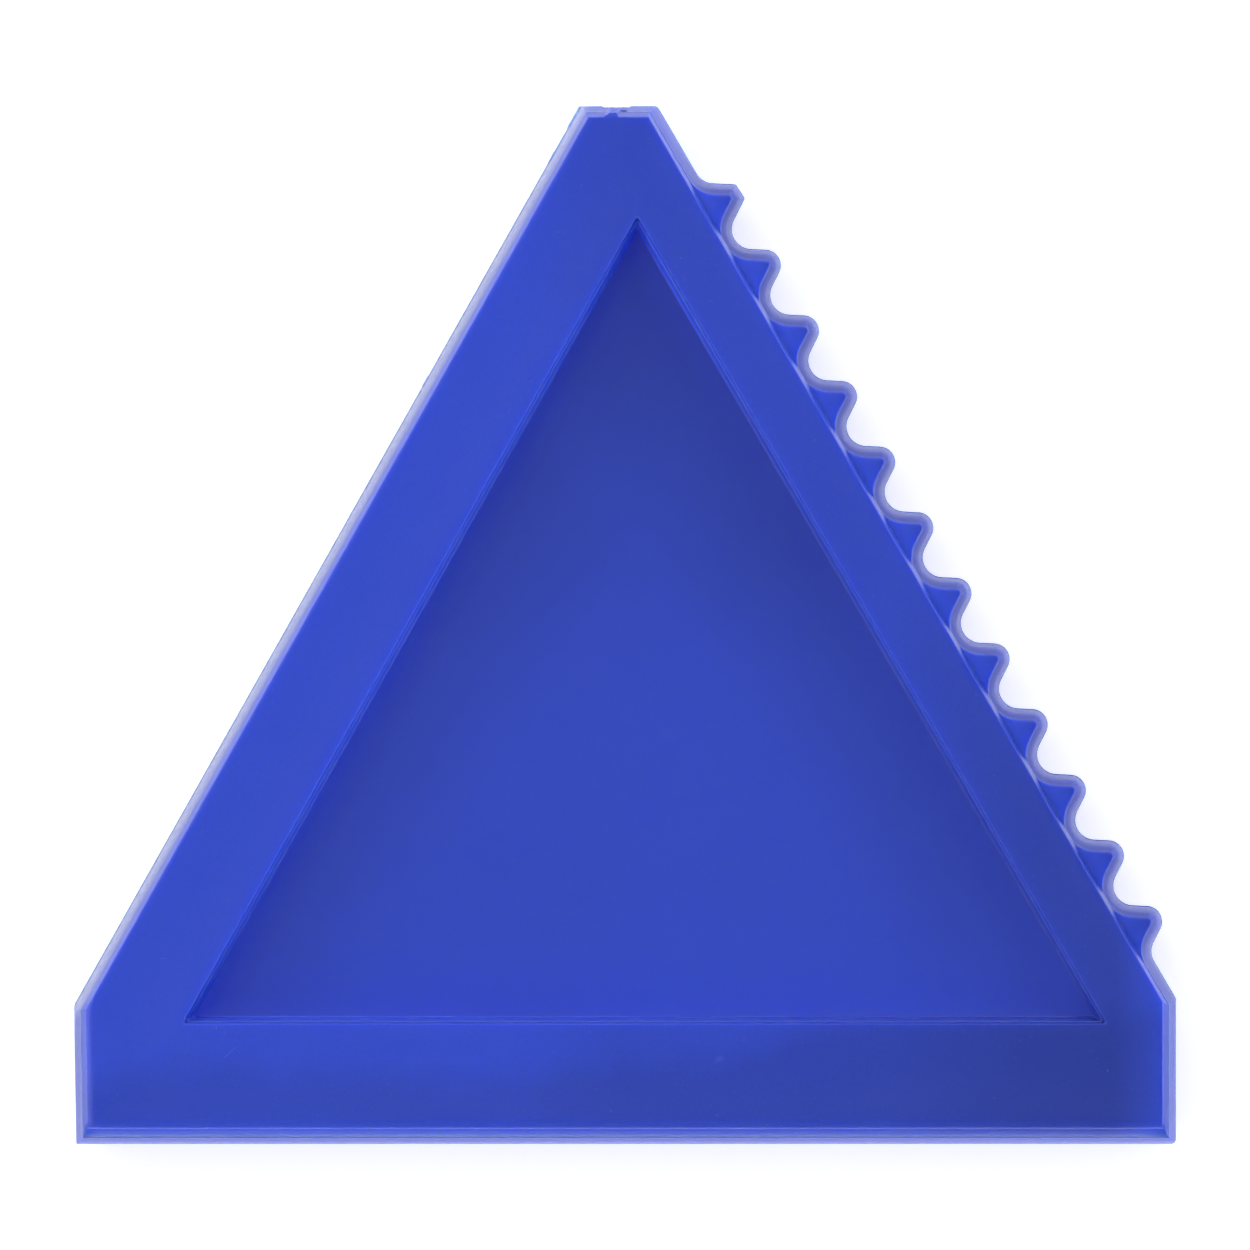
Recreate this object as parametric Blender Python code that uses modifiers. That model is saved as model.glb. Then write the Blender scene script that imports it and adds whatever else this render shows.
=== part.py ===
"""Triangular windshield ice scraper: a thick toothed body with a raised rim pegged onto each face.

Metres, +Z up. The scraper lies on its rear rim: its base edge runs along X, its tip points to +Y and its
front faces +Z. The origin is at the centre of its footprint, on the surface that it rests on.
"""

from math import acos, cos, pi, radians, sin, tan

import bmesh
import bpy
from mathutils import Matrix, Vector

MM = 0.001

# Silhouette
WIDTH = 115.0 * MM
HEIGHT = 108.3 * MM
THICKNESS = 12.0 * MM
LEFT_END_HEIGHT = 14.5 * MM
RIGHT_END_HEIGHT = 15.2 * MM
TIP_LEFT_X = -4.7 * MM
TIP_RIGHT_X = 3.4 * MM

# Teeth along the right slope, placed from the tip of the scraper down
TOOTH_COUNT = 12
TOOTH_PITCH = 7.92 * MM
FIRST_TOOTH = 12.1 * MM
FLANK_ANGLE = radians(57)
TOOTH_TIP_RADIUS = 1.65 * MM
TOOTH_VALLEY_RADIUS = 2.05 * MM

# Toothed body: its walls slope in from a narrow land at mid thickness, and its panel is sunk
BODY_THICKNESS = 9.4 * MM
PANEL_THICKNESS = 3.0 * MM
EDGE_LAND = 0.4 * MM
EDGE_SLOPE = 0.9 * MM

# Rims: the widths are from the silhouette to the foot of the recess's walls
FIT_GAP = 0.3 * MM
RIM_INSET = 0.95 * MM
RIM_SLOPE = 0.25 * MM
RIM_CHAMFER = 0.15 * MM
LEFT_RIM_WIDTH = 11.4 * MM
RIGHT_RIM_WIDTH = 8.2 * MM
BASE_RIM_WIDTH = 13.2 * MM
RECESS_DRAFT = radians(5.5)

# Pegs, moulded on each rim, in holes that go through the body
PEG_RADIUS = 1.5 * MM
PEG_LENGTH = 4.4 * MM
PEG_CHAMFER = 0.4 * MM
PEG_PLACES = (1 / 6, 1 / 2, 5 / 6)

ARC_STEP = radians(12)
PEG_SIDES = 24
OVERRUN = 1.0 * MM
FRONT = 1
REAR = -1

# Heights above the middle of the scraper's thickness
PANEL_FACE = PANEL_THICKNESS / 2
BODY_FACE = BODY_THICKNESS / 2
RIM_FOOT = BODY_FACE + FIT_GAP
RIM_FACE = THICKNESS / 2

BASE, RIGHT_END, RIGHT_SLOPE, TIP, LEFT_SLOPE, LEFT_END = range(6)

BODY_BLUE = (0.045, 0.080, 0.540)
RIM_BLUE = (0.050, 0.085, 0.560)


# ---------------------------------------------------------------- plan geometry


def sides():
    """The straight sides of the silhouette as (start, direction), anticlockwise from the base."""
    half = WIDTH / 2
    places = [
        (-half, 0),
        (half, 0),
        (half, RIGHT_END_HEIGHT),
        (TIP_RIGHT_X, HEIGHT),
        (TIP_LEFT_X, HEIGHT),
        (-half, LEFT_END_HEIGHT),
    ]
    corners = [Vector((x, height - HEIGHT / 2)) for x, height in places]
    ends = corners[1:] + corners[:1]
    return [(start, (end - start).normalized()) for start, end in zip(corners, ends)]


def moved_in(side, distance):
    """A side moved towards the middle of the scraper."""
    start, along = side
    return start + Vector((-along.y, along.x)) * distance, along


def meeting(line_a, line_b):
    """Where two lines of the plan meet."""
    start_a, along_a = line_a
    start_b, along_b = line_b
    return start_a + along_a * ((start_b - start_a).cross(along_b) / along_a.cross(along_b))


def inner_triangle(left, right, base):
    """The triangle whose sides lie the given distances inside the left slope, right slope and base."""
    lines = sides()
    base_line = moved_in(lines[BASE], base)
    right_line = moved_in(lines[RIGHT_SLOPE], right)
    left_line = moved_in(lines[LEFT_SLOPE], left)
    return [
        meeting(left_line, base_line),
        meeting(base_line, right_line),
        meeting(right_line, left_line),
    ]


def rim_outline():
    """The foot of a rim's outer wall."""
    lines = [moved_in(side, RIM_INSET) for side in sides()]
    return [meeting(lines[i - 1], lines[i]) for i in range(len(lines))]


def rounded(corner, before, after, radius):
    """The arc that rounds one corner of an outline, as points."""
    to_before = (before - corner).normalized()
    to_after = (after - corner).normalized()
    half_angle = acos(to_before.dot(to_after)) / 2
    centre = corner + (to_before + to_after).normalized() * (radius / sin(half_angle))
    spoke = corner + to_before * (radius / tan(half_angle)) - centre
    sweep = pi - 2 * half_angle
    if to_before.cross(to_after) > 0:
        sweep = -sweep
    steps = round(abs(sweep) / ARC_STEP)
    turns = [Matrix.Rotation(sweep * i / steps, 2) for i in range(steps + 1)]
    return [centre + turn @ spoke for turn in turns]


def tooth_corners(slope_top, along, outward):
    """The sharp corners of the tooth row, each with its radius. The valleys' arcs touch the slope."""
    half_pitch = TOOTH_PITCH / 2
    valley = TOOTH_VALLEY_RADIUS * (1 - 1 / cos(FLANK_ANGLE))
    crest = valley + half_pitch * tan(FLANK_ANGLE)
    half_foot = crest / tan(FLANK_ANGLE)
    last_tooth = FIRST_TOOTH + (TOOTH_COUNT - 1) * TOOTH_PITCH
    corners = [(slope_top + along * (FIRST_TOOTH - half_foot), TOOTH_VALLEY_RADIUS)]
    for i in range(TOOTH_COUNT):
        middle = slope_top + along * (FIRST_TOOTH + i * TOOTH_PITCH)
        corners.append((middle + outward * crest, TOOTH_TIP_RADIUS))
        if i < TOOTH_COUNT - 1:
            corners.append((middle + along * half_pitch + outward * valley, TOOTH_VALLEY_RADIUS))
    corners.append((slope_top + along * (last_tooth + half_foot), TOOTH_VALLEY_RADIUS))
    return corners


def toothed_outline():
    """The whole silhouette, anticlockwise from the left end of the base, with rounded teeth."""
    starts = [start for start, along in sides()]
    upward = sides()[RIGHT_SLOPE][1]
    row = tooth_corners(starts[TIP], -upward, Vector((upward.y, -upward.x)))
    outline = starts[: RIGHT_SLOPE + 1]
    row.reverse()
    bare = [starts[RIGHT_SLOPE]] + [corner for corner, radius in row] + [starts[TIP]]
    for i, (corner, radius) in enumerate(row):
        outline += rounded(corner, bare[i], bare[i + 2], radius)
    return outline + starts[TIP:]


def peg_places():
    """Peg centres, evenly along the middle of the rim's three bars."""
    corners = inner_triangle(
        (LEFT_RIM_WIDTH + RIM_INSET) / 2,
        (RIGHT_RIM_WIDTH + RIM_INSET) / 2,
        (BASE_RIM_WIDTH + RIM_INSET) / 2,
    )
    ends = corners[1:] + corners[:1]
    return [start.lerp(end, place) for start, end in zip(corners, ends) for place in PEG_PLACES]


# ---------------------------------------------------------------- solids


def stacked(name, outline, start_z, steps, open_start=False):
    """A mesh raised from a flat outline. Each step is (inset, rise) and makes one band of wall."""
    bm = bmesh.new()
    start = [bm.verts.new((point.x, point.y, start_z)) for point in outline]
    cap = bm.faces.new(start)
    for inset, rise in steps:
        bmesh.ops.inset_region(
            bm, faces=[cap], thickness=inset, use_boundary=True, use_even_offset=True
        )
        bmesh.ops.translate(bm, verts=list(cap.verts), vec=(0, 0, rise))
    if not open_start:
        bm.faces.new(start)
    bmesh.ops.recalc_face_normals(bm, faces=bm.faces)
    mesh = bpy.data.meshes.new(name)
    bm.to_mesh(mesh)
    bm.free()
    return mesh


def pins(name, low_z, high_z, radius):
    """One mesh of upright round pins, one at each peg place."""
    bm = bmesh.new()
    for place in peg_places():
        centre = Matrix.Translation((place.x, place.y, (low_z + high_z) / 2))
        bmesh.ops.create_cone(
            bm,
            cap_ends=True,
            segments=PEG_SIDES,
            radius1=radius,
            radius2=radius,
            depth=high_z - low_z,
            matrix=centre,
        )
    mesh = bpy.data.meshes.new(name)
    bm.to_mesh(mesh)
    bm.free()
    return mesh


def plastic(name, colour, roughness):
    """A smooth coloured plastic."""
    material = bpy.data.materials.new(name)
    material.use_nodes = True
    material.diffuse_color = (*colour, 1)
    shader = material.node_tree.nodes["Principled BSDF"]
    shader.inputs["Base Color"].default_value = (*colour, 1)
    shader.inputs["Roughness"].default_value = roughness
    shader.inputs["Metallic"].default_value = 0
    return material


def placed(mesh, collection, parent=None, material=None):
    """An object for a mesh, named as the mesh is, in a collection."""
    obj = bpy.data.objects.new(mesh.name, mesh)
    obj.parent = parent
    collection.objects.link(obj)
    if material:
        mesh.materials.append(material)
    return obj


def cutter(mesh, collection, parent):
    """A helper object, which only takes part in Booleans."""
    obj = placed(mesh, collection, parent)
    obj.hide_render = True
    obj.display_type = "WIRE"
    return obj


def combine(obj, operation, other):
    """A Boolean with a helper object."""
    modifier = obj.modifiers.new(f"{operation} {other.name}", "BOOLEAN")
    modifier.operation = operation
    modifier.object = other


def chamfer(obj, width):
    """A one-step bevel on the sharp edges of a helper object."""
    modifier = obj.modifiers.new("chamfer", "BEVEL")
    modifier.width = width
    modifier.segments = 1
    modifier.limit_method = "ANGLE"
    modifier.angle_limit = radians(60)


def mirror_in_plan(obj):
    """Completes a half body that is open at the plane z = 0 of its own space."""
    modifier = obj.modifiers.new("both faces", "MIRROR")
    modifier.use_axis = (False, False, True)
    modifier.merge_threshold = 0.01 * MM


# ---------------------------------------------------------------- the scraper


def recess(name, side, foot, mouth):
    """The space inside the walls of one sunk panel, between two heights above mid thickness."""

    def outline(height):
        flare = (height - PANEL_FACE) * tan(RECESS_DRAFT)
        return inner_triangle(LEFT_RIM_WIDTH - flare, RIGHT_RIM_WIDTH - flare, BASE_RIM_WIDTH - flare)

    narrowing = (mouth - foot) * tan(RECESS_DRAFT)
    return stacked(name, outline(mouth), side * mouth, [(narrowing, side * (foot - mouth))])


def toothed_body(parts, helpers, root):
    """The body with the teeth, a sunk panel on each face and a hole for each pair of pegs."""
    land = EDGE_LAND / 2
    wall = [(0, land), (EDGE_SLOPE, BODY_FACE - land)]
    mesh = stacked("toothed_body", toothed_outline(), 0, wall, open_start=True)
    body = placed(mesh, parts, root, plastic("body_blue", BODY_BLUE, 0.34))
    mirror_in_plan(body)
    for name, side in (("front_panel", FRONT), ("rear_panel", REAR)):
        space = recess(name, side, PANEL_FACE, BODY_FACE + OVERRUN)
        combine(body, "DIFFERENCE", cutter(space, helpers, root))
    reach = BODY_FACE + OVERRUN
    holes = pins("peg_holes", -reach, reach, PEG_RADIUS + FIT_GAP)
    combine(body, "DIFFERENCE", cutter(holes, helpers, root))


def rim(name, side, parts, helpers, root):
    """A triangular rim for one face of the body, with the pegs that hold it there."""
    height = RIM_FACE - RIM_FOOT
    wall = [
        (RIM_SLOPE, side * (height - RIM_CHAMFER)),
        (RIM_CHAMFER, side * RIM_CHAMFER),
    ]
    mesh = stacked(name, rim_outline(), side * RIM_FOOT, wall)
    obj = placed(mesh, parts, root, plastic(f"{name}_blue", RIM_BLUE, 0.38))
    window = recess(f"{name}_window", side, RIM_FOOT - OVERRUN, RIM_FACE + OVERRUN)
    combine(obj, "DIFFERENCE", cutter(window, helpers, root))

    ends = sorted((side * (RIM_FOOT - PEG_LENGTH), side * (RIM_FOOT + OVERRUN)))
    pegs = cutter(pins(f"{name}_pegs", *ends, PEG_RADIUS), helpers, root)
    chamfer(pegs, PEG_CHAMFER)
    combine(obj, "UNION", pegs)


def clear_scene():
    """An empty scene to build in."""
    for obj in list(bpy.data.objects):
        bpy.data.objects.remove(obj, do_unlink=True)


def new_collection(name):
    """A collection linked to the scene."""
    made = bpy.data.collections.new(name)
    bpy.context.scene.collection.children.link(made)
    return made


def main():
    clear_scene()
    parts = new_collection("ice_scraper")
    helpers = new_collection("cutters")
    root = bpy.data.objects.new("scraper_middle", None)
    root.location = (0, 0, THICKNESS / 2)
    parts.objects.link(root)
    toothed_body(parts, helpers, root)
    rim("front_rim", FRONT, parts, helpers, root)
    rim("rear_rim", REAR, parts, helpers, root)


main()
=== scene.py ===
"""Looks of the triangular windshield ice scraper: fine surfaces, plastic, light and camera.

Metres, +Z up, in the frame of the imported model. Heights inside a piece are counted from the middle of the
scraper's thickness, and the rear half mirrors the front.
"""

from math import acos, cos, pi, radians, sin, tan

import bmesh
import bpy
from mathutils import Matrix, Vector, noise

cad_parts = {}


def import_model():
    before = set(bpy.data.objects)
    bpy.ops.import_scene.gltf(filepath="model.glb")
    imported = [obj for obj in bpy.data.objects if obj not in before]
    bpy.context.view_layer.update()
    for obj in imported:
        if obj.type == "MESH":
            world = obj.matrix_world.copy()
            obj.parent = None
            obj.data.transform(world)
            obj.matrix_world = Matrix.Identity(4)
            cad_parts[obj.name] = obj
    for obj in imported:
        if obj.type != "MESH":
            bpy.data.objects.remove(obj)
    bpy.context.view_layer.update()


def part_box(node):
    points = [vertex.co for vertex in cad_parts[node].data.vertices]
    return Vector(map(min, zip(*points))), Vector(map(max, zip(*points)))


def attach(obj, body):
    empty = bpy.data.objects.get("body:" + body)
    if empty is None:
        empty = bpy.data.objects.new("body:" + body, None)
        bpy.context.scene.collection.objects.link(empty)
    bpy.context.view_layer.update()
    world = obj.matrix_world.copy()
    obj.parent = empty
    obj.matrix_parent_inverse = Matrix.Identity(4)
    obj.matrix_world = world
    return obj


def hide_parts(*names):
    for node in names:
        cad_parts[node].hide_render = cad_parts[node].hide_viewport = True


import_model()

MM = 0.001
FRONT = 1
REAR = -1
# Where the recess's wall and its panel stand in the body's list of materials
POCKET_MATERIAL = 1
PANEL_MATERIAL = 2

# The frame's own sizes
body_low, body_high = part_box("toothed_body")
rim_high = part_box("front_rim")[1]
WIDTH = body_high.x - body_low.x
HEIGHT = body_high.y - body_low.y
BASE_Y = body_low.y
MIDDLE_Z = (body_low.z + body_high.z) / 2
BODY_FACE = body_high.z - MIDDLE_Z
RIM_FACE = rim_high.z - MIDDLE_Z

# Silhouette
LEFT_END_HEIGHT = 14.5 * MM
RIGHT_END_HEIGHT = 15.2 * MM
TIP_LEFT_X = -4.7 * MM
TIP_RIGHT_X = 3.4 * MM
LEFT_END_LEAN = 0.24 * MM
CORNER_RADII = (1.4 * MM, 0.06 * MM, 0.5 * MM, 0.45 * MM, 0.6 * MM, 0.25 * MM)

# Teeth
TOOTH_COUNT = 12
TOOTH_PITCH = 7.92 * MM
FIRST_TOOTH = 12.1 * MM
FLANK_ANGLE = radians(57)
TOOTH_TIP_RADIUS = 1.65 * MM
TOOTH_VALLEY_RADIUS = 2.05 * MM
# The first tooth has a flat tip. Its two corners: along the row from the tooth's middle, outwards, radius
FLAT_TIP = ((-0.95 * MM, 2.97 * MM, 0.45 * MM), (0.80 * MM, 3.06 * MM, 0.30 * MM))

# Walls. Each side stands upright up to a height above the middle, then leans in from one angle to another.
# The last number says how late the lean grows: 1 evenly, more towards the top.
SIDE_NAMES = ("left_end", "base", "right_end", "right_slope", "tip", "left_slope")
BODY_WALL = {
    "left_end": (2.5 * MM, radians(17), radians(18), 1),
    "base": (2.2 * MM, radians(1), radians(26), 1),
    "right_end": (2.6 * MM, radians(18), radians(20), 1),
    "right_slope": (1.8 * MM, radians(13), radians(24), 1),
    "teeth": (1.8 * MM, radians(13), radians(46), 3),
    "tip": (2.8 * MM, radians(17), radians(18), 1),
    "left_slope": (0.0 * MM, radians(4.5), radians(15.5), 1),
}
RIM_WALL = {
    "left_end": (radians(18), radians(21)),
    "base": (radians(26), radians(40)),
    "right_end": (radians(20), radians(28)),
    "right_slope": (radians(12), radians(15)),
    "tip": (radians(18), radians(20)),
    "left_slope": (radians(13), radians(19)),
}
# How the rim's face rolls off towards each side: how wide, and how far down at the very edge
EDGE_ROLL = {
    "left_end": (0.9 * MM, 0.20 * MM),
    "base": (1.1 * MM, 0.45 * MM),
    "right_end": (2.6 * MM, 0.25 * MM),
    "right_slope": (0.6 * MM, 0.04 * MM),
    "tip": (0.3 * MM, 0.02 * MM),
    "left_slope": (0.5 * MM, 0.06 * MM),
}
WALL_RIPPLE = 0.022 * MM
# Each ripple's length along the wall, spacing up the wall and strength
RIPPLES = ((14 * MM, 0.55 * MM, 1.0), (4 * MM, -0.30 * MM, 0.5))
RIPPLE_SEED = {FRONT: 5.0, REAR: 47.0}
BODY_EDGE_ROUND = 0.22 * MM
SEAM_EDGE_SHARE = 0.35
RIM_EDGE_ROUND = 0.14 * MM
MOUTH_EDGE_ROUND = 0.12 * MM
PARTING_RIDGE = 0.10 * MM
PARTING_HALF_HEIGHT = 0.08 * MM
# Painted shade: how dark the parting ridge is coloured, for the dark line along the silhouette
PARTING_PAINTED_SHADE = 0.45
SEAM = 0.02 * MM
RIPPLE_FADE = 4
LEAST_RADIUS = 0.03 * MM
# The rim's face sinks between its edges, with waves of a size, depth and shift of their pattern
SINK_DEPTH = 0.13 * MM
SINK_POWER = 1.5
SINK_WAVES = ((16 * MM, 0.05 * MM, 0.0), (5 * MM, 0.012 * MM, 9.0))
SINK_SEED = {FRONT: 3.0, REAR: 31.0}
SINK_EDGE_RAMP = 6
FACE_STEP_GROWTH = 1.3

# Sunk panels
LEFT_RIM_WIDTH = 11.4 * MM
RIGHT_RIM_WIDTH = 8.2 * MM
BASE_RIM_WIDTH = 13.2 * MM
RECESS_DRAFT = radians(5.5)
RECESS_STEP = 0.14 * MM
RECESS_CORNER_RADIUS = 0.2 * MM
POCKET_EDGE_ROUND = 0.10 * MM
PANEL_FACE = 1.5 * MM
PANEL_FOOT_ROUND = 0.18 * MM

# The broken gate at the tip, as ranges of X, and the flash along the left slope, counted from the tip's left
# corner: where it starts and ends, and how far it stands out
GATE_BITE = (-2.36 * MM, 0.56 * MM)
GATE_STUB = (-2.25 * MM, -0.74 * MM)
GATE_LEDGE = (-0.62 * MM, 0.28 * MM)
GATE_LEDGE_HEIGHT = 4.0 * MM
GATE_DEPTH = 0.17 * MM
GATE_SOFTNESS = 0.15 * MM
GATE_ROUGHNESS = 0.12 * MM
GATE_GRAIN = (0.25 * MM, 0.5 * MM)
GATE_SEED = 7.0
GATE_LEDGE_WIDTH = 0.20 * MM
GATE_LEDGE_SOFTNESS = 0.2 * MM
GATE_STUB_LENGTH = 0.42 * MM
GATE_STUB_RAMPS = (0.7 * MM, 0.06 * MM)
GATE_STUB_ROUGHNESS = 0.25
GATE_STUB_GRAIN = 0.3 * MM
GATE_STUB_SEED = (3.0, 1.0)
GATE_REACH = 3.0 * MM
FLASH_SOFTNESS = 0.12 * MM
FLASH_REACH = 0.5 * MM
FLASH = (
    (0.0 * MM, 2.7 * MM, 0.11 * MM),
    (3.5 * MM, 6.0 * MM, 0.03 * MM),
    (5.3 * MM, 6.9 * MM, 0.05 * MM),
    (32.2 * MM, 33.6 * MM, 0.06 * MM),
)

# Pegs
PEG_RADIUS = 1.5 * MM
PEG_HOLE_RADIUS = 1.8 * MM
PEG_LENGTH = 4.4 * MM
PEG_CHAMFER = 0.4 * MM
PEG_PLACES = (1 / 6, 1 / 2, 5 / 6)
RIM_INSET = 0.95 * MM

# Colour. Levels multiply the plain blue, and most of them paint light and shade into it. They go by X, by the
# height above the base edge (UP), or by how far inside a side's line a point is (INSIDE), in mm.
BLUE = (0.030, 0.074, 0.56)
PALE_BLUE = (0.16, 0.25, 0.74)
# Pale colour of a painted reflection of the white table on the left wall
PAINTED_REFLECTION_PALE = (0.50, 0.56, 0.86)
# Painted light and shade on the rims: brighter at the left and right ends, darker towards the lower right
RIM_PAINTED_SHADING_ACROSS = (
    (-57.5, 1.17),
    (-12, 1.17),
    (0, 1.04),
    (27, 1.03),
    (42, 0.83),
    (51, 0.8),
    (56, 1.2),
    (57.5, 1.2),
)
# Painted highlight along the base bar's rolled outer edge
RIM_PAINTED_LIGHT_INSIDE_BASE = ((0.6, 1.5), (1.4, 1.4), (1.8, 1.05), (2.2, 1.0))
# Painted shade on the body's walls: darker away from the tip, and darker low down near the base
BODY_WALL_PAINTED_SHADE_UP = ((0, 0.78), (98, 0.76), (106, 1.0), (108.3, 1.0))
LOW_WALL_PAINTED_SHADE_RISE = ((0, 0.8), (3.0, 0.8), (4.7, 1.0))
LOW_WALL_PAINTED_SHADE_END = (13, 17)
# Painted shade on the left slope's wall, darkest at its outer line
LEFT_WALL_PAINTED_SHADE_INSIDE = ((0, 0.6), (0.5, 0.85), (0.9, 1.0))
# Painted reflection: how far the left slope's wall is mixed towards the pale colour
LEFT_WALL_PAINTED_REFLECTION_INSIDE = ((0, 0.38), (0.5, 0.22), (0.9, 0.05), (1.2, 0.0))
# Painted light on the tooth faces: brighter towards the tip, and towards the rim's wall where its shade falls
TOOTH_FACE_PAINTED_LIGHT_UP = ((0, 0.95), (15, 0.88), (50, 1.0), (108.3, 1.06))
TOOTH_FACE_PAINTED_LIGHT_INSIDE = ((-2, 0.82), (-0.8, 1.06), (0, 1.2), (0.8, 1.32), (1.2, 1.35))
# Painted light on the recess's walls, lifting the shade in the deep corner at the tip
POCKET_WALL_PAINTED_LIGHT_UP = ((75, 1.0), (92, 1.35))
POCKET_WALL_PAINTED_LIGHT_ACROSS = ((-45, 1.4), (-20, 1.4), (0, 1.3), (15, 1.2), (30, 1.1), (49, 1.0))
# Painted light and shade on the sunk panel: darker beside the walls and in the middle height, lighter at the
# base and the tip
PANEL_PAINTED_SHADING_UP = ((13, 1.12), (16, 1.05), (28, 0.98), (50, 0.96), (65, 0.88), (80, 0.88), (95, 1.06))
PANEL_PAINTED_SHADING_INSIDE_LEFT = ((0, 1.45), (1, 1.17), (3, 0.93), (6, 0.89), (16, 1.02), (24, 1.05))
PANEL_PAINTED_SHADING_INSIDE_RIGHT = ((0, 0.95), (3, 0.87), (10, 0.97), (16, 1.04), (24, 1.04))
# Painted shade on the base bar: its darker part reaches up to this share of the unit, along X
BASE_SHADE_EDGE_UNIT = 20 * MM
BASE_SHADE_EDGE = (
    (-57.5, 0.30),
    (-44, 0.42),
    (-36, 0.38),
    (-12, 0.35),
    (0, 0.43),
    (10, 0.44),
    (18, 0.575),
    (25, 0.67),
    (57.5, 0.67),
)
BASE_SHADE_LEVEL = 0.84
BASE_SHADE_SOFTNESS = 0.13
# Small worn marks on the rims, and at X 9.8 a painted highlight on the lit side of a sink mark: X, height,
# half length, half width in mm, turn in degrees, strength
RIM_MARKS = (
    (-41.2, 9.55, 1.75, 0.07, 41, 0.30),
    (-42.6, 12.2, 0.25, 0.09, 80, 0.40),
    (-45.8, 13.1, 0.30, 0.12, -60, 0.50),
    (-43.6, 1.7, 0.16, 0.09, 0, 0.50),
    (-48.1, 19.4, 0.55, 0.06, 0, 0.30),
    (-4.5, 100.0, 0.40, 0.08, 80, 0.20),
    (-7.0, 95.1, 0.20, 0.07, 0, 0.35),
    (5.8, 92.4, 0.20, 0.10, 60, 0.35),
    (9.3, 94.6, 0.14, 0.12, 0, 0.35),
    (6.2, 90.2, 0.40, 0.12, 90, 0.15),
    (9.0, 87.9, 0.40, 0.08, -30, 0.25),
    # Painted highlight where a sink mark's side catches the light
    (9.8, 8.9, 0.75, 0.45, 35, 0.14),
    (12.4, 10.9, 0.20, 0.09, 0, 0.30),
    (16.3, 2.0, 0.12, 0.10, 0, 0.30),
    (50.3, 7.7, 0.14, 0.10, 0, 0.50),
)
MARK_REACH = 1.0
MARK_SOFTNESS = 0.8
# Patterns in the plastic, and the ragged edges of painted shade and reflection: scale and detail of the
# noise, and the part of its range that is used
CLOUD_NOISE = (60, 3)
DUST_NOISE = (2600, 2)
SPECK_NOISE = (2200, 1)
WALL_NOISE = (1400, 3)
PANEL_NOISE = (900, 3)
GRAIN_NOISE = (4500, 2)
# These shape the ragged edge of the painted shade on the base bar
BASE_SHADE_NOISE = (260, 2)
BASE_SHADE_FINE_NOISE = (1500, 2)
BASE_SHADE_FINE_SHARE = 0.4
BASE_SHADE_ROUGHNESS = 0.16
NOISE_RANGE = (0.3, 0.7)
CLOUD_LEVELS = (0.98, 1.02)
DUST_LEVELS = (0.975, 1.025)
# How the painted reflection on the left wall varies
PAINTED_REFLECTION_LEVELS = (0.75, 1.25)
HAZE_RANGE = (0.6, 0.8)
POCKET_HAZE = 0.03
PANEL_HAZE = 0.02
SPECK_RANGE = (0.74, 0.80)
SPECK_LEVEL = 0.12
GRAIN_DEPTH = 0.01 * MM
PLASTIC_IOR = 1.5
# Roughness, and how strong the grain is
RIM_FINISH = (0.27, 0.25)
BODY_FINISH = (0.25, 0.10)
PANEL_FINISH = (0.30, 0.10)
# How far red, green and blue light travel inside the plastic, in mm
SCATTER = (0.3, 0.6, 1.5)

# Stage
# The studio's light from the right, the left, the tip's side and the base's side: brightness by the height of
# the direction, 0 at the horizon and 1 straight above
SKY = (
    ("X", 1, ((0, 0.9), (0.12, 4.2), (0.25, 4.2), (0.45, 0.12), (0.75, 0.12), (1, 0.21))),
    ("X", -1, ((0, 0.9), (0.12, 0.12), (0.25, 0.12), (0.45, 1.7), (0.75, 2.55), (1, 0.21))),
    ("Y", 1, ((0, 0.9), (0.12, 0.12), (0.25, 0.12), (0.45, 0.12), (0.75, 3.0), (1, 0.21))),
    ("Y", -1, ((0, 8.6), (0.12, 1.4), (0.25, 1.4), (0.45, 0.12), (0.75, 0.31), (1, 0.21))),
)
TABLE_GLOW = 0.54
TABLE_WHITE = 0.85
TABLE_ROUGHNESS = 0.7
TABLE_REACH = 6.0
TABLE_DROP = 0.02 * MM
FRAME_WIDTH = 130.45 * MM
LENS = 1200.0
SENSOR = 36.0
CLIP = (0.1, 20.0)
LEAST_LEVEL_PART = 0.001

# How finely the surfaces are cut
ARC_STEPS = 12
WALL_STEPS = 22
STRAIGHT_STEP = {
    "left_end": 0.8 * MM,
    "base": 0.8 * MM,
    "right_end": 0.8 * MM,
    "right_slope": 0.3 * MM,
    "tip": 0.1 * MM,
    "left_slope": 0.25 * MM,
}
CORNER_STEPS = 4
TOOTH_SIDE_STEPS = 6
FEWEST_SIDE_STEPS = 20
RIM_SIDE_STEPS = {
    "left_end": 24,
    "base": 220,
    "right_end": 24,
    "right_slope": 210,
    "tip": 72,
    "left_slope": 210,
}
POCKET_END_STEPS = 6
POCKET_SIDE_STEPS = (72, 68, 68)
RIM_WALL_STEPS = 6
RECESS_WALL_STEPS = 4
PANEL_RINGS = 14
FILLET_STEPS = 5
FACE_STEPS = 36
PEG_SIDES = 32
MERGE_DISTANCE = 1e-7
SHARP_ANGLE = radians(35)


# ---------------------------------------------------------------- plan geometry


def at(x, height):
    """A point of the plan, from its X and its height above the base edge."""
    return Vector((x, BASE_Y + height))


def silhouette_corners():
    """The six corners of the silhouette, anticlockwise from the top of the left end."""
    half = WIDTH / 2
    return [
        at(-half, LEFT_END_HEIGHT),
        at(-half + LEFT_END_LEAN, 0),
        at(half, 0),
        at(half, RIGHT_END_HEIGHT),
        at(TIP_RIGHT_X, HEIGHT),
        at(TIP_LEFT_X, HEIGHT),
    ]


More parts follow.
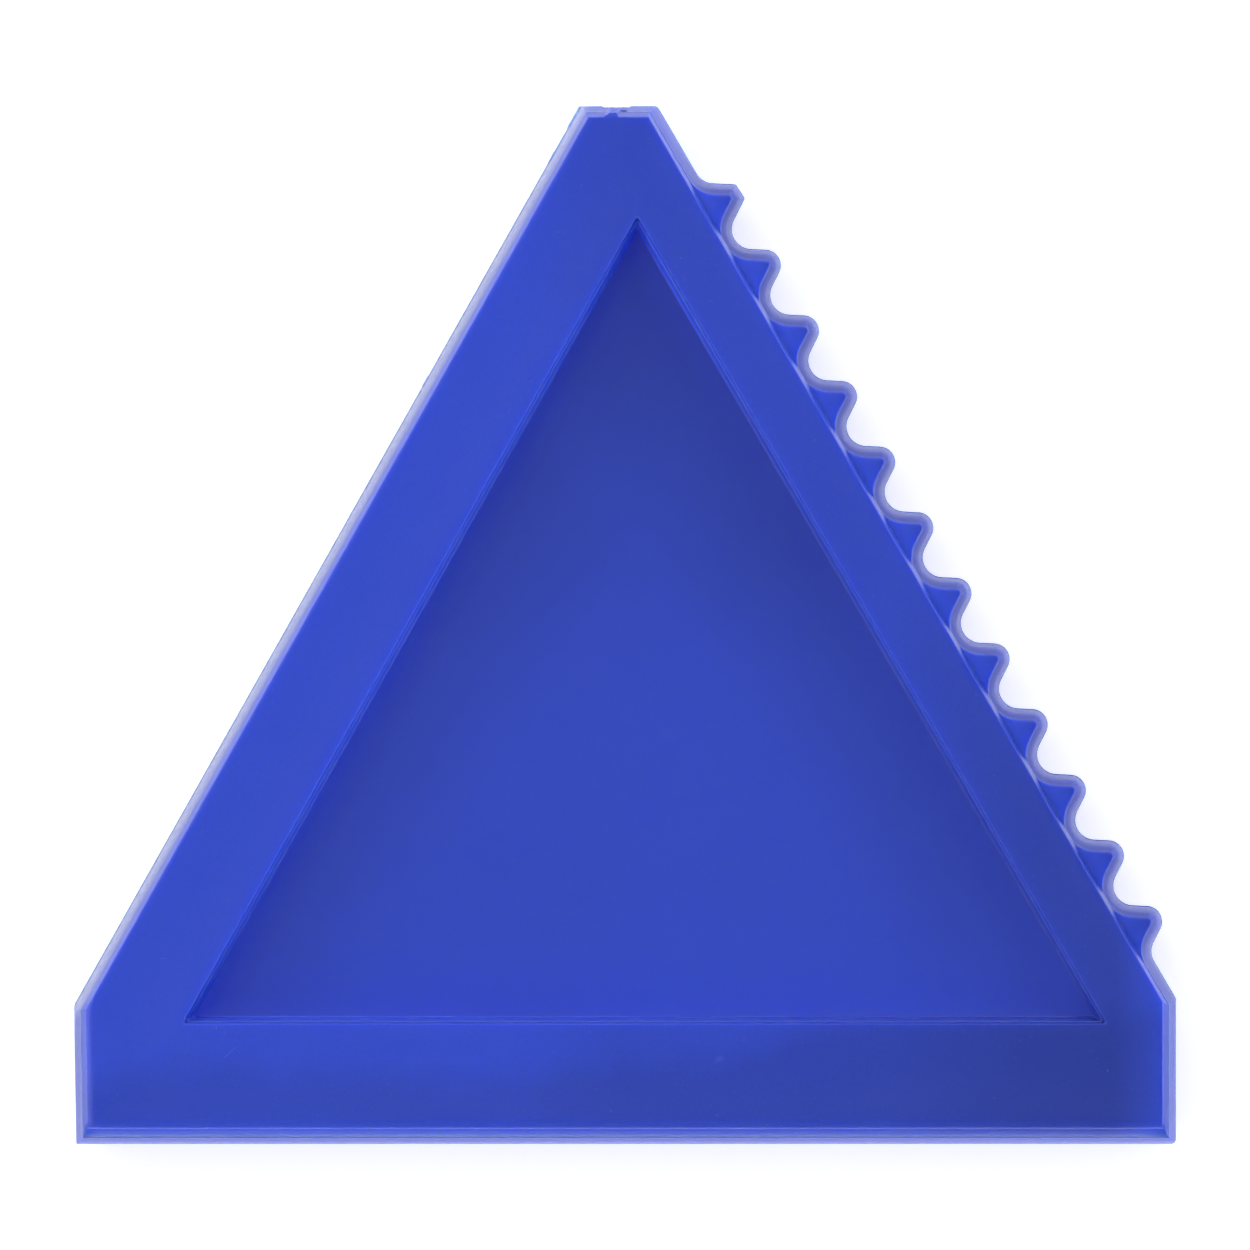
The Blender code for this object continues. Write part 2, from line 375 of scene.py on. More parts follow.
def side_lines():
    """Each side of the plain silhouette: where it starts, and the direction that points into the scraper."""
    corners = silhouette_corners()
    lines = {}
    for i, name in enumerate(SIDE_NAMES):
        along = (corners[(i + 1) % len(corners)] - corners[i]).normalized()
        lines[name] = (corners[i], Vector((-along.y, along.x)))
    return lines


def meeting(line_a, line_b):
    """Where two lines of the plan meet, each a start and a direction."""
    start_a, along_a = line_a
    start_b, along_b = line_b
    return start_a + along_a * ((start_b - start_a).cross(along_b) / along_a.cross(along_b))


def moved_in(corners, insets):
    """The corners of an outline after each side moves in by its own distance."""
    lines = []
    for i, start in enumerate(corners):
        along = (corners[(i + 1) % len(corners)] - start).normalized()
        lines.append((start + Vector((-along.y, along.x)) * insets[i], along))
    return [meeting(lines[i - 1], lines[i]) for i in range(len(lines))]


def arc(corner, before, after, radius, steps):
    """The points that round one corner."""
    to_before = (before - corner).normalized()
    to_after = (after - corner).normalized()
    half_angle = acos(max(-1.0, min(1.0, to_before.dot(to_after)))) / 2
    centre = corner + (to_before + to_after).normalized() * (radius / sin(half_angle))
    spoke = corner + to_before * (radius / tan(half_angle)) - centre
    sweep = pi - 2 * half_angle
    if to_before.cross(to_after) > 0:
        sweep = -sweep
    return [centre + Matrix.Rotation(sweep * i / steps, 2) @ spoke for i in range(steps + 1)]


class Outline:
    """A closed outline with sharp corners, their radii, and how many steps its arcs and sides take."""

    def __init__(self, corners, radii, arc_steps, side_steps):
        self.corners = corners
        self.radii = radii
        self.arc_steps = arc_steps
        self.side_steps = side_steps

    def loop(self, insets):
        """The rounded outline with each side moved in. Every loop has the same number of points."""
        corners = moved_in(self.corners, insets)
        count = len(corners)
        arcs = []
        for i, corner in enumerate(corners):
            before = corners[i - 1]
            after = corners[(i + 1) % count]
            convex = (corner - before).cross(after - corner) > 0
            inset = (insets[i - 1] + insets[i]) / 2
            radius = self.radii[i] - max(inset, 0.0) if convex else self.radii[i] + inset
            radius = max(radius, LEAST_RADIUS)
            arcs.append(arc(corner, before, after, radius, self.arc_steps[i]))
        points = []
        for i, one in enumerate(arcs):
            points += one
            start, end = one[-1], arcs[(i + 1) % count][0]
            steps = self.side_steps[i]
            points += [start.lerp(end, k / steps) for k in range(1, steps)]
        return points


def tooth_corners(slope_top, along, outward):
    """The sharp corners of the tooth row from the tip down, each with its radius."""
    half_pitch = TOOTH_PITCH / 2
    valley = TOOTH_VALLEY_RADIUS * (1 - 1 / cos(FLANK_ANGLE))
    crest = valley + half_pitch * tan(FLANK_ANGLE)
    half_foot = crest / tan(FLANK_ANGLE)
    last_tooth = FIRST_TOOTH + (TOOTH_COUNT - 1) * TOOTH_PITCH
    corners = [(slope_top + along * (FIRST_TOOTH - half_foot), TOOTH_VALLEY_RADIUS)]
    for i in range(TOOTH_COUNT):
        middle = slope_top + along * (FIRST_TOOTH + i * TOOTH_PITCH)
        if i == 0:
            corners += [(middle + along * step + outward * out, radius) for step, out, radius in FLAT_TIP]
        else:
            corners.append((middle + outward * crest, TOOTH_TIP_RADIUS))
        if i < TOOTH_COUNT - 1:
            corners.append((middle + along * half_pitch + outward * valley, TOOTH_VALLEY_RADIUS))
    corners.append((slope_top + along * (last_tooth + half_foot), TOOTH_VALLEY_RADIUS))
    return corners


def body_outline():
    """The toothed silhouette, and the name of the straight side that each of its sides belongs to."""
    plain = silhouette_corners()
    along = (plain[3] - plain[4]).normalized()
    row = tooth_corners(plain[4], along, Vector((-along.y, along.x)))
    row.reverse()
    corners = plain[:4] + [corner for corner, radius in row] + plain[4:]
    radii = [*CORNER_RADII[:4], *(radius for corner, radius in row), *CORNER_RADII[4:]]
    names = [*SIDE_NAMES[:4], *["teeth"] * (len(row) - 1), *SIDE_NAMES[3:]]
    arc_steps = [CORNER_STEPS] * 4 + [ARC_STEPS] * len(row) + [CORNER_STEPS] * 2
    side_steps = []
    for i, corner in enumerate(corners):
        length = (corners[(i + 1) % len(corners)] - corner).length
        if names[i] == "teeth":
            side_steps.append(TOOTH_SIDE_STEPS)
        else:
            side_steps.append(max(FEWEST_SIDE_STEPS, round(length / STRAIGHT_STEP[names[i]])))
    return Outline(corners, radii, arc_steps, side_steps), names


def rim_outline():
    """The silhouette without teeth, cut finely for the rims."""
    corners = silhouette_corners()
    steps = [RIM_SIDE_STEPS[name] for name in SIDE_NAMES]
    return Outline(corners, CORNER_RADII, [CORNER_STEPS] * len(corners), steps)


def triangle_corners():
    """The foot of the recess's walls: the low left, low right and top corners."""
    plain = silhouette_corners()
    insets = (0, BASE_RIM_WIDTH, 0, RIGHT_RIM_WIDTH, 0, LEFT_RIM_WIDTH)
    lines = []
    for i, start in enumerate(plain):
        along = (plain[(i + 1) % len(plain)] - start).normalized()
        lines.append((start + Vector((-along.y, along.x)) * insets[i], along))
    base, right, left = lines[1], lines[3], lines[5]
    return [meeting(left, base), meeting(base, right), meeting(right, left)]


def triangle_outline(rim_matched):
    """The recess as an outline. Matched to the rim, its loops pair point by point with the rim's own."""
    if rim_matched:
        ends = [RIM_SIDE_STEPS[name] + 2 * CORNER_STEPS for name in ("left_end", "right_end", "tip")]
        sides = [RIM_SIDE_STEPS[name] for name in ("base", "right_slope", "left_slope")]
    else:
        ends = [POCKET_END_STEPS] * 3
        sides = POCKET_SIDE_STEPS
    return Outline(triangle_corners(), [RECESS_CORNER_RADIUS] * 3, ends, sides)


def peg_places():
    """Peg centres along the middle of the rim's three bars."""
    plain = silhouette_corners()
    outer = moved_in(plain, [RIM_INSET] * len(plain))
    outer = [meeting_of_sides(outer, 5, 1), meeting_of_sides(outer, 1, 3), meeting_of_sides(outer, 3, 5)]
    middle = [a.lerp(b, 0.5) for a, b in zip(outer, triangle_corners())]
    ends = middle[1:] + middle[:1]
    return [start.lerp(end, place) for start, end in zip(middle, ends) for place in PEG_PLACES]


def meeting_of_sides(corners, first, second):
    """Where two sides of an outline meet when they are made longer."""
    lines = []
    for i in (first, second):
        start = corners[i]
        lines.append((start, (corners[(i + 1) % len(corners)] - start).normalized()))
    return meeting(*lines)


# ---------------------------------------------------------------- meshes


def ring(bm, points, heights):
    """One closed ring of vertices. heights is one number, or one for each point."""
    if not hasattr(heights, "__len__"):
        heights = [heights] * len(points)
    return [bm.verts.new((p.x, p.y, MIDDLE_Z + z)) for p, z in zip(points, heights)]


def skin(bm, rings):
    """Bands of quads between one ring and the next."""
    faces = []
    for low, high in zip(rings, rings[1:]):
        count = len(low)
        for i in range(count):
            j = (i + 1) % count
            faces.append(bm.faces.new((low[i], low[j], high[j], high[i])))
    return faces


def fill(bm, rings):
    """A flat face with holes, between the given rings."""
    edges = []
    for one in rings:
        for a, b in zip(one, one[1:] + one[:1]):
            edge = bm.edges.get((a, b)) or bm.edges.new((a, b))
            edges.append(edge)
    bmesh.ops.triangle_fill(bm, use_beauty=True, use_dissolve=False, edges=edges)


def fillet(radius):
    """Steps (inset, drop) round an edge, from the wall below it to the face on top of it."""
    turns = [pi / 2 * k / FILLET_STEPS for k in range(1, FILLET_STEPS + 1)]
    return [(radius * (1 - cos(turn)), radius * (1 - sin(turn))) for turn in turns]


def finish_mesh(bm, name, materials, node):
    """Turns a bmesh into a smooth-shaded piece that stands for a CAD node."""
    bmesh.ops.remove_doubles(bm, verts=bm.verts, dist=MERGE_DISTANCE)
    bmesh.ops.recalc_face_normals(bm, faces=bm.faces)
    mesh = bpy.data.meshes.new(name)
    bm.to_mesh(mesh)
    bm.free()
    mesh.shade_smooth()
    mesh.set_sharp_from_angle(angle=SHARP_ANGLE)
    for material in materials:
        mesh.materials.append(material)
    obj = bpy.data.objects.new(name, mesh)
    bpy.context.scene.collection.objects.link(obj)
    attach(obj, "root")
    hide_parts(node)
    return obj


def leaned(height, length, start_angle, end_angle, growth=1):
    """How far in a wall has come at some height, as its lean grows over its length."""
    start, end = tan(start_angle), tan(end_angle)
    return start * height + (end - start) * height * (height / length) ** growth / (growth + 1)


def body_inset(name, height):
    """How far in a side of the body is at a height above the middle."""
    upright, start_angle, end_angle, growth = BODY_WALL[name]
    if height <= upright:
        return PARTING_RIDGE
    return PARTING_RIDGE + leaned(height - upright, BODY_FACE - upright, start_angle, end_angle, growth)


def rim_inset(name, height):
    """How far in a side of a rim is at a height above the middle."""
    return body_inset(name, BODY_FACE) + leaned(height - BODY_FACE, RIM_FACE - BODY_FACE, *RIM_WALL[name])


def ripple(point, height, side):
    """Faint long ripples that the mould's walls left, in and out of the wall."""
    seed = RIPPLE_SEED[side]
    total = 0.0
    for length, spacing, strength in RIPPLES:
        total += strength * noise.noise(Vector((point.x / length, point.y / length, seed + height / spacing)))
    return WALL_RIPPLE * total


def window(value, start, end, soft):
    """1 between two values and 0 outside them, with a ramp inside each end."""
    return max(0.0, min(1.0, (value - start) / soft, (end - value) / soft))


def gate_cut(point, height, inset):
    """How much further in the tip's wall is where the gate broke away."""
    if point.y < BASE_Y + HEIGHT - GATE_REACH:
        return 0.0
    rough = noise.noise(Vector((point.x / GATE_GRAIN[0], height / GATE_GRAIN[1], GATE_SEED)))
    bite = window(point.x, *GATE_BITE, GATE_SOFTNESS) * (GATE_DEPTH + GATE_ROUGHNESS * rough)
    reach = max(inset, bite)
    ledge = window(point.x, *GATE_LEDGE, GATE_LEDGE_SOFTNESS)
    if height > GATE_LEDGE_HEIGHT and ledge > 0:
        reach = max(reach, body_inset("tip", GATE_LEDGE_HEIGHT) + GATE_LEDGE_WIDTH * ledge)
    return reach - inset


def gate_stub(point):
    """How far the rim stands out at the tip, where a stub of the gate is left."""
    if point.y < BASE_Y + HEIGHT - GATE_REACH:
        return 0.0
    start, end = GATE_STUB
    rough = noise.noise(Vector((point.x / GATE_STUB_GRAIN, *GATE_STUB_SEED)))
    left_ramp, right_ramp = GATE_STUB_RAMPS
    left = max(0.0, min(1.0, (point.x - start) / left_ramp))
    right = max(0.0, min(1.0, (end - point.x) / right_ramp))
    return min(left, right) * GATE_STUB_LENGTH * (1 + GATE_STUB_ROUGHNESS * rough)


def flash(point):
    """How far the parting line's flash stands out along the left slope."""
    corners = silhouette_corners()
    along = (corners[0] - corners[5]).normalized()
    out = Vector((along.y, -along.x))
    offset = point - corners[5]
    if abs(offset.dot(out)) > FLASH_REACH:
        return 0.0
    run = offset.dot(along)
    return sum(height * window(run, start, end, FLASH_SOFTNESS) for start, end, height in FLASH)


def pushed(points, pushes):
    """A loop with each point moved outwards by its own distance."""
    moved = []
    for i, point in enumerate(points):
        along = points[(i + 1) % len(points)] - points[i - 1]
        out = Vector((along.y, -along.x)).normalized()
        moved.append(point + out * pushes[i])
    return moved


def circle(centre, radius):
    """The corners of a peg or of its hole."""
    turns = [2 * pi * k / PEG_SIDES for k in range(PEG_SIDES)]
    return [centre + Vector((cos(turn), sin(turn))) * radius for turn in turns]


def body_wall(bm, outline, names, side):
    """Half of the body's wall, from beside the parting ridge to the rounded edge of the face."""
    edge_share = {name: 1.0 if name == "teeth" else SEAM_EDGE_SHARE for name in names}
    rings = []
    top = BODY_FACE - BODY_EDGE_ROUND
    for k in range(WALL_STEPS + 1):
        rise = k / WALL_STEPS
        height = PARTING_HALF_HEIGHT + (top - PARTING_HALF_HEIGHT) * rise
        points = outline.loop([body_inset(name, height) for name in names])
        fade = min(1.0, RIPPLE_FADE * rise, RIPPLE_FADE * (1 - rise))
        tip = body_inset("tip", height)
        pushes = [fade * ripple(p, height, side) - gate_cut(p, height, tip) for p in points]
        rings.append(ring(bm, pushed(points, pushes), side * height))
    for inward, drop in fillet(BODY_EDGE_ROUND):
        points = outline.loop([body_inset(n, top) + inward * edge_share[n] for n in names])
        tip = body_inset("tip", top) + inward * SEAM_EDGE_SHARE
        pushes = [-gate_cut(p, BODY_FACE, tip) for p in points]
        rings.append(ring(bm, pushed(points, pushes), side * (BODY_FACE - drop)))
    skin(bm, rings)
    return rings


def body_pocket(bm, side):
    """The body's part of the recess: a drafted wall and the sunk panel. Returns its top ring."""
    recess = triangle_outline(rim_matched=False)
    pocket = []
    edge_flare = (BODY_FACE - PANEL_FACE) * tan(RECESS_DRAFT)
    for inward, drop in reversed(fillet(POCKET_EDGE_ROUND)):
        pocket.append(ring(bm, recess.loop([-edge_flare - inward] * 3), side * (BODY_FACE - drop)))
    wall_top = BODY_FACE - POCKET_EDGE_ROUND
    for k in range(RECESS_WALL_STEPS + 1):
        height = wall_top + (PANEL_FACE + PANEL_FOOT_ROUND - wall_top) * k / RECESS_WALL_STEPS
        flare = (height - PANEL_FACE) * tan(RECESS_DRAFT)
        pocket.append(ring(bm, recess.loop([-flare] * 3), side * height))
    for inward, drop in fillet(PANEL_FOOT_ROUND):
        pocket.append(ring(bm, recess.loop([inward] * 3), side * (PANEL_FACE + drop)))
    foot = recess.loop([PANEL_FOOT_ROUND] * 3)
    centre = sum(foot, Vector((0, 0))) / len(foot)
    for k in range(1, PANEL_RINGS):
        shrunk = [p.lerp(centre, k / PANEL_RINGS) for p in foot]
        pocket.append(ring(bm, shrunk, side * PANEL_FACE))
    for face in skin(bm, pocket[: -PANEL_RINGS + 1]):
        face.material_index = POCKET_MATERIAL
    panel = skin(bm, pocket[-PANEL_RINGS:])
    middle = bm.verts.new((centre.x, centre.y, MIDDLE_Z + side * PANEL_FACE))
    last = pocket[-1]
    panel += [bm.faces.new((a, b, middle)) for a, b in zip(last, last[1:] + last[:1])]
    for face in panel:
        face.material_index = PANEL_MATERIAL
    return pocket[0]


def toothed_body(materials):
    """The body: curved walls, a parting ridge, tooth faces, a sunk panel on each face and peg holes."""
    outline, names = body_outline()
    bm = bmesh.new()
    halves = {}
    for side in (FRONT, REAR):
        wall = body_wall(bm, outline, names, side)
        mouth = body_pocket(bm, side)
        holes = [ring(bm, circle(place, PEG_HOLE_RADIUS), side * BODY_FACE) for place in peg_places()]
        fill(bm, [wall[-1], mouth, *holes])
        halves[side] = (wall[0], holes)

    points = outline.loop([0.0] * len(names))
    points = pushed(points, [flash(p) - gate_cut(p, 0.0, 0.0) for p in points])
    ridge = ring(bm, [Vector((p.x, min(p.y, body_high.y))) for p in points], 0.0)
    skin(bm, [halves[REAR][0], ridge, halves[FRONT][0]])
    for rear_hole, front_hole in zip(halves[REAR][1], halves[FRONT][1]):
        skin(bm, [rear_hole, front_hole])
    return finish_mesh(bm, "scraper_body", materials, "toothed_body")


def edge_drop(point, lines):
    """How far the rim's face rolls off near the outer edges."""
    drop = 0.0
    for name, (width, depth) in EDGE_ROLL.items():
        start, inward = lines[name]
        share = 1 - ((point - start).dot(inward) - rim_inset(name, RIM_FACE)) / width
        drop += depth * max(0.0, share) ** 2
    return drop


def sink(point, share, side):
    """How far the rim's face lies below its edges: moulding shrinkage over the thick bars."""
    hollow = SINK_DEPTH * sin(pi * share) ** SINK_POWER
    waves = 0.0
    for size, depth, shift in SINK_WAVES:
        place = Vector((point.x / size, point.y / size, SINK_SEED[side] + shift))
        waves += depth * noise.noise(place)
    edge = min(1.0, SINK_EDGE_RAMP * min(share, 1 - share))
    return max(0.0, hollow + edge * waves)


def peg(bm, place, side, foot_z):
    """A chamfered peg under a rim. Returns the ring where it joins the rim."""
    end_z = foot_z - PEG_LENGTH
    profile = ((PEG_RADIUS, foot_z), (PEG_RADIUS, end_z + PEG_CHAMFER), (PEG_RADIUS - PEG_CHAMFER, end_z))
    rings = [ring(bm, circle(place, radius), side * height) for radius, height in profile]
    skin(bm, rings)
    bm.faces.new(rings[-1])
    return rings[0]


def rim(name, side, material, node):
    """A rim: outer wall, rounded edges, a slightly sunk face, the recess's wall and nine pegs."""
    outline = rim_outline()
    recess = triangle_outline(rim_matched=True)
    full = [rim_inset(n, RIM_FACE) for n in SIDE_NAMES]
    lines = side_lines()
    foot_z = BODY_FACE + SEAM
    bm = bmesh.new()
    rings = []
    crest = [RIM_FACE - edge_drop(p, lines) for p in outline.loop(full)]
    for k in range(RIM_WALL_STEPS + 1):
        rise = k / RIM_WALL_STEPS
        height = foot_z + (RIM_FACE - foot_z) * rise
        points = outline.loop([rim_inset(n, height) for n in SIDE_NAMES])
        points = pushed(points, [gate_stub(p) for p in points])
        heights = [side * (foot_z + (z - RIM_EDGE_ROUND - foot_z) * rise) for z in crest]
        rings.append(ring(bm, points, heights))
    for inward, drop in fillet(RIM_EDGE_ROUND)[:-1]:
        points = outline.loop([inset + inward for inset in full])
        heights = [side * (RIM_FACE - edge_drop(p, lines) - drop) for p in points]
        rings.append(ring(bm, pushed(points, [gate_stub(p) for p in points]), heights))

    outer = outline.loop([inset + RIM_EDGE_ROUND for inset in full])
    outer = pushed(outer, [gate_stub(p) for p in outer])
    mouth_flare = (RIM_FACE - PANEL_FACE) * tan(RECESS_DRAFT) + RECESS_STEP + MOUTH_EDGE_ROUND
    inner = recess.loop([-mouth_flare] * 3)
    for k in range(FACE_STEPS + 1):
        share = (k / FACE_STEPS) ** FACE_STEP_GROWTH
        points = [a.lerp(b, share) for a, b in zip(outer, inner)]
        heights = [side * (RIM_FACE - edge_drop(p, lines) - sink(p, share, side)) for p in points]
        rings.append(ring(bm, points, heights))

    for inward, drop in reversed(fillet(MOUTH_EDGE_ROUND)[:-1]):
        flare = mouth_flare - MOUTH_EDGE_ROUND + inward
        rings.append(ring(bm, recess.loop([-flare] * 3), side * (RIM_FACE - drop)))
    for k in range(RECESS_WALL_STEPS + 1):
        height = RIM_FACE - MOUTH_EDGE_ROUND + (foot_z - RIM_FACE + MOUTH_EDGE_ROUND) * k / RECESS_WALL_STEPS
        flare = (height - PANEL_FACE) * tan(RECESS_DRAFT) + RECESS_STEP
        rings.append(ring(bm, recess.loop([-flare] * 3), side * height))
    skin(bm, rings)

    feet = [peg(bm, place, side, foot_z) for place in peg_places()]
    fill(bm, [rings[0], rings[-1], *feet])
    return finish_mesh(bm, name, [material], node)


# ---------------------------------------------------------------- materials


class Graph:
    """A short way to add nodes to a material and join them."""

    def __init__(self, material):
        self.nodes = material.node_tree.nodes
        self.links = material.node_tree.links

    def join(self, source, target):
        self.links.new(source, target)

    def math(self, operation, first, second):
        node = self.nodes.new("ShaderNodeMath")
        node.operation = operation
        for socket, value in zip(node.inputs, (first, second)):
            if isinstance(value, (int, float)):
                socket.default_value = value
            else:
                self.join(value, socket)
        return node.outputs["Value"]

    def noise(self, place, scale, detail):
        node = self.nodes.new("ShaderNodeTexNoise")
        node.inputs["Scale"].default_value = scale
        node.inputs["Detail"].default_value = detail
        self.join(place, node.inputs["Vector"])
        return node.outputs["Fac"]

    def span(self, value, start, end, low, high):
        """A value's range mapped smoothly onto another."""
        node = self.nodes.new("ShaderNodeMapRange")
        node.interpolation_type = "SMOOTHSTEP"
        for name, number in (("From Min", start), ("From Max", end), ("To Min", low), ("To Max", high)):
            node.inputs[name].default_value = number
        self.join(value, node.inputs["Value"])
        return node.outputs["Result"]

    def curve(self, value, points, shape="CARDINAL"):
        """A smooth, or piecewise LINEAR, function of a value, from (value, level) points."""
        start, end = points[0][0], points[-1][0]
        top = max(level for position, level in points)
        node = self.nodes.new("ShaderNodeValToRGB")
        node.color_ramp.interpolation = shape
        stops = node.color_ramp.elements
        for stop, position in zip(stops, (start, end)):
            stop.position = (position - start) / (end - start)
        for position, level in points[1:-1]:
            stops.new((position - start) / (end - start))
        for stop, (position, level) in zip(stops, points):
            stop.color = (level / top, level / top, level / top, 1)
        linear = self.nodes.new("ShaderNodeMapRange")
        linear.inputs["From Min"].default_value = start
        linear.inputs["From Max"].default_value = end
        self.join(value, linear.inputs["Value"])
        self.join(linear.outputs["Result"], node.inputs["Fac"])
        return self.math("MULTIPLY", node.outputs["Color"], top)

    def inside(self, place, line):
        """How far inside a side's line a point of the plan is."""
        start, inward = line
        node = self.nodes.new("ShaderNodeVectorMath")
        node.operation = "DOT_PRODUCT"
        node.inputs[1].default_value = (inward.x, inward.y, 0)
        self.join(place, node.inputs[0])
        return self.math("SUBTRACT", node.outputs["Value"], start.dot(inward))

    def oval(self, place, x, height, length, width, turn):
        """A soft oval patch, 1 in its middle and 0 from its edge on."""
        centre = at(x * MM, height * MM)
        node = self.nodes.new("ShaderNodeMapping")
        node.vector_type = "TEXTURE"
        node.inputs["Location"].default_value = (centre.x, centre.y, 0)
        node.inputs["Rotation"].default_value = (0, 0, radians(turn))
        node.inputs["Scale"].default_value = (length * MM, width * MM, MARK_REACH)
        self.join(place, node.inputs["Vector"])
        distance = self.nodes.new("ShaderNodeVectorMath")
        distance.operation = "LENGTH"
        self.join(node.outputs["Vector"], distance.inputs[0])
        return self.span(distance.outputs["Value"], 1 - MARK_SOFTNESS, 1.0, 1.0, 0.0)


def plastic(name, finish, tint, pale_colour):
    """Moulded blue plastic with a fine grain. tint gives the colour's strength and how much is pale; these
    carry painted light and shade besides the plastic's random tone.
    """
    roughness, grain = finish
    material = bpy.data.materials.new(name)
    material.use_nodes = True
    graph = Graph(material)
    shader = graph.nodes["Principled BSDF"]
    shader.inputs["IOR"].default_value = PLASTIC_IOR
    shader.inputs["Subsurface Weight"].default_value = 1.0
    shader.inputs["Subsurface Radius"].default_value = SCATTER
    shader.inputs["Subsurface Scale"].default_value = MM
    shader.inputs["Roughness"].default_value = roughness
    place = graph.nodes.new("ShaderNodeTexCoord").outputs["Object"]

    strength, paleness = tint(graph, place)
    cloud = graph.span(graph.noise(place, *CLOUD_NOISE), *NOISE_RANGE, *CLOUD_LEVELS)
    scaled = graph.nodes.new("ShaderNodeVectorMath")
    scaled.operation = "SCALE"
    scaled.inputs[0].default_value = BLUE
    graph.join(graph.math("MULTIPLY", strength, cloud), scaled.inputs["Scale"])
    mixed = graph.nodes.new("ShaderNodeMixRGB")
    graph.join(paleness, mixed.inputs["Fac"])
    graph.join(scaled.outputs["Vector"], mixed.inputs["Color1"])
    mixed.inputs["Color2"].default_value = (*pale_colour, 1)
    graph.join(mixed.outputs["Color"], shader.inputs["Base Color"])

    bump = graph.nodes.new("ShaderNodeBump")
    bump.inputs["Strength"].default_value = grain
    bump.inputs["Distance"].default_value = GRAIN_DEPTH
    graph.join(graph.noise(place, *GRAIN_NOISE), bump.inputs["Height"])
    graph.join(bump.outputs["Normal"], shader.inputs["Normal"])
    return material


def by_height(graph, place, levels):
    """A level that goes by the height above the base edge."""
    split = graph.nodes.new("ShaderNodeSeparateXYZ")
    graph.join(place, split.inputs["Vector"])
    return graph.curve(split.outputs["Y"], [(BASE_Y + h * MM, level) for h, level in levels], "LINEAR")


def by_inside(graph, place, line, levels):
    """A level that goes by how far inside a line a point is."""
    return graph.curve(graph.inside(place, line), [(d * MM, level) for d, level in levels], "LINEAR")


def rim_tint(graph, place):
    """Painted light and shade: brighter at the left end and along the base's edge, painted darker low on the
    base bar and towards the lower right, with worn specks and a painted highlight on one sink mark.
    """
    split = graph.nodes.new("ShaderNodeSeparateXYZ")
    graph.join(place, split.inputs["Vector"])
    x, y = split.outputs["X"], split.outputs["Y"]
    # Painted light and shade across the rims, by X
    along = graph.curve(x, [(px * MM, level) for px, level in RIM_PAINTED_SHADING_ACROSS], "LINEAR")
    # Painted highlight along the base bar's outer edge
    along = graph.math("MULTIPLY", along, by_inside(graph, place, side_lines()["base"], RIM_PAINTED_LIGHT_INSIDE_BASE))
    # Painted shade over the base bar's lower part and its right side, with a ragged edge
    edge = graph.curve(x, [(px * MM, level) for px, level in BASE_SHADE_EDGE])
    height = graph.math("DIVIDE", graph.math("SUBTRACT", y, BASE_Y), BASE_SHADE_EDGE_UNIT)
    fine_part = graph.math("MULTIPLY", graph.noise(place, *BASE_SHADE_FINE_NOISE), BASE_SHADE_FINE_SHARE)
    rough = graph.math("ADD", graph.noise(place, *BASE_SHADE_NOISE), fine_part)
    middle = (1 + BASE_SHADE_FINE_SHARE) / 2
    rough = graph.math("MULTIPLY", graph.math("SUBTRACT", rough, middle), BASE_SHADE_ROUGHNESS)
    above = graph.math("ADD", graph.math("SUBTRACT", height, edge), rough)
    base_painted_shade = graph.span(above, -BASE_SHADE_SOFTNESS, BASE_SHADE_SOFTNESS, BASE_SHADE_LEVEL, 1.0)
    strength = graph.math("MULTIPLY", along, base_painted_shade)
    fine = graph.span(graph.noise(place, *DUST_NOISE), *NOISE_RANGE, *DUST_LEVELS)
    strength = graph.math("MULTIPLY", strength, fine)

    pale = graph.span(graph.noise(place, *SPECK_NOISE), *SPECK_RANGE, 0.0, SPECK_LEVEL)
    for *shape, level in RIM_MARKS:
        oval = graph.math("MULTIPLY", graph.oval(place, *shape), level)
        pale = graph.math("MAXIMUM", pale, oval)
    return strength, pale


